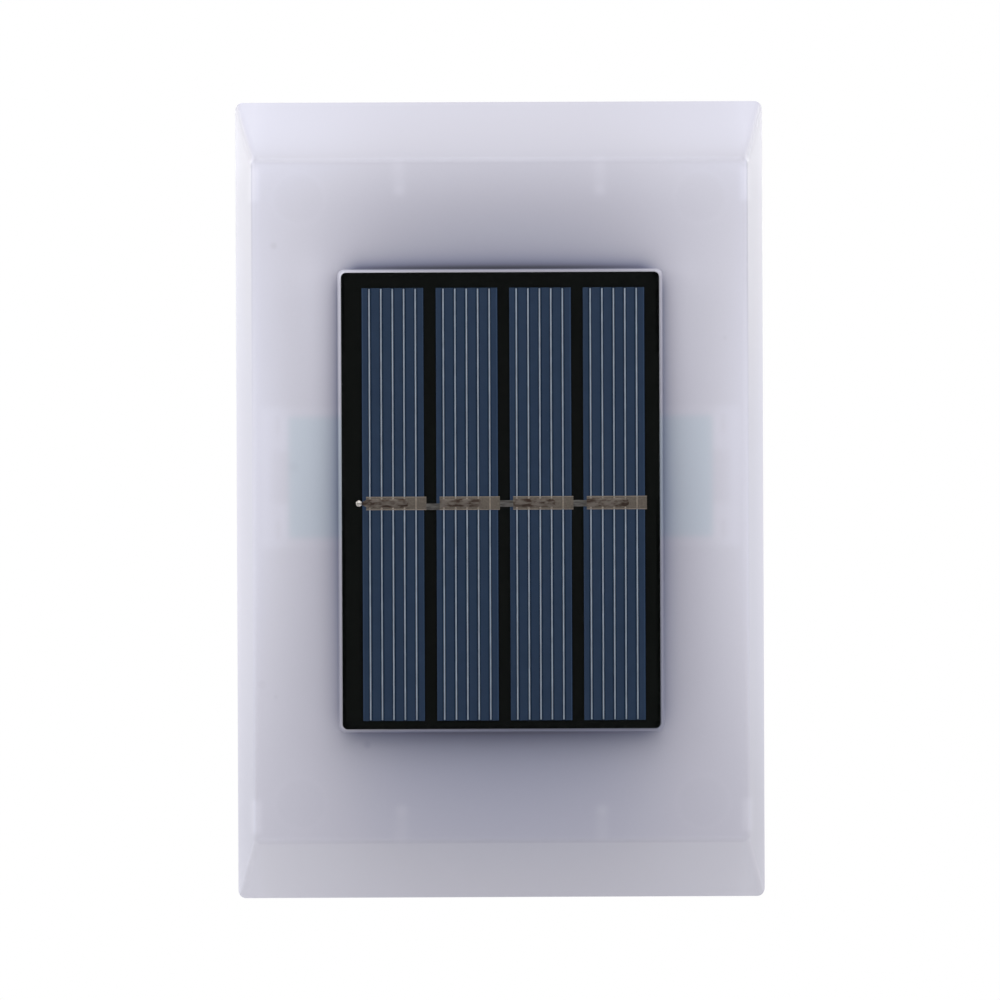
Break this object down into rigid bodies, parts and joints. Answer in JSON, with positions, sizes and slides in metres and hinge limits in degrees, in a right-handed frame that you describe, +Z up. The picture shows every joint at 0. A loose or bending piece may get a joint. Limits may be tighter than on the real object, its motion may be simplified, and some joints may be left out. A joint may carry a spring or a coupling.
{
  "type": "solar fence light",
  "caption": "Solar fence light: a milky rectangular housing with sloped edges, a raised solar panel on its face, keyholes and a recessed mode button on its back.",
  "frame": {"origin": "middle of the back face, on the wall plane", "axes": "+Z up along the housing's height, +Y into the wall, so the panel faces -Y, and +X to the right seen from the front"},
  "size_m": [0.098, 0.0338, 0.148],
  "materials": {
    "milky_shell": "satin milky polycarbonate",
    "rear_shell": "fine matt milky polycarbonate",
    "seal_rubber": "matt silicone",
    "screw_steel": "zinc plated",
    "tape": "foam tape",
    "panel_black": "black laminate",
    "silicon": "blue-coated silicon",
    "tinned_solder": "dull tinned",
    "clear_film": "clear satin film",
    "green_board": "solder mask",
    "inner_plastic": "white ABS",
    "chip_black": "moulded epoxy",
    "can_metal": "drawn can",
    "led_white": "white package",
    "led_yellow": "phosphor fill",
    "button_rubber": "matt silicone",
    "battery_sleeve": "shrink sleeve",
    "contact_nickel": "nickel plated",
    "lead_red": "PVC insulation",
    "lead_black": "PVC insulation"
  },
  "bodies": {
    "housing": {"front_cover": "milky_shell", "rear_cover": "rear_shell", "cover_gasket": "seal_rubber", "case_screws": "screw_steel", "panel_adhesive": "tape", "panel_board": "panel_black", "solar_cells": "silicon", "busbar_pads": "tinned_solder", "cell_ribbons": "tinned_solder", "solder_tip": "tinned_solder", "panel_film": "clear_film", "main_board": "green_board", "board_carrier": "inner_plastic", "carrier_screws": "screw_steel", "controller_chip": "chip_black", "chip_leads": "tinned_solder", "boost_coil": "chip_black", "capacitor": "can_metal", "resistors": "chip_black", "leds": "led_white", "led_phosphor": "led_yellow", "switch_body": "chip_black", "battery_cell": "battery_sleeve", "battery_holder": "inner_plastic", "holder_screws": "screw_steel", "positive_contact": "contact_nickel", "negative_contact": "contact_nickel", "panel_lead_red": "lead_red", "panel_lead_black": "lead_black", "battery_lead_red": "lead_red", "battery_lead_black": "lead_black"},
    "button": {"mode_button": "button_rubber", "switch_plunger": "inner_plastic", "button_seal": "seal_rubber"}
  },
  "joints": [
    {"name": "button_press", "type": "slide", "parent": "housing", "child": "button", "axis": [0, -1, 0], "range_m": [0, 0.0015], "stiffness_N_per_m": 600, "springref_m": -0.001}
  ]
}
